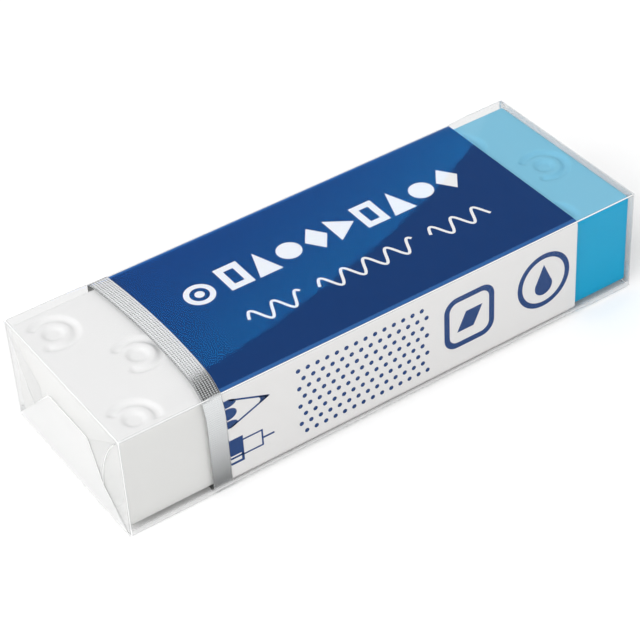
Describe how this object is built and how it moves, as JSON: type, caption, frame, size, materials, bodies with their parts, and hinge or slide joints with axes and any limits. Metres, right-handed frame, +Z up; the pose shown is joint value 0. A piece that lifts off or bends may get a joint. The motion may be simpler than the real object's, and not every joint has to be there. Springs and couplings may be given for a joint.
{
  "type": "wrapped combination eraser",
  "caption": "Bar eraser with a white end and a blue end, in a card sleeve and a folded clear film wrap with a silver tear strip.",
  "frame": {"origin": "middle of the underside of the film wrap, where the pack rests", "axes": "+X along the bar towards its blue end, +Y across it to the far side, +Z up through the sleeve's blue top"},
  "size_m": [0.066, 0.0238, 0.0131],
  "materials": {
    "white_eraser": "matt",
    "blue_eraser": "matt",
    "printed_card": "satin print",
    "clear_film": "clear gloss",
    "silver_strip": "finely embossed"
  },
  "bodies": {
    "root": {"white_half": "white_eraser", "blue_half": "blue_eraser", "card_sleeve": "printed_card", "film_wrap": "clear_film", "tear_strip": "silver_strip"}
  },
  "joints": []
}
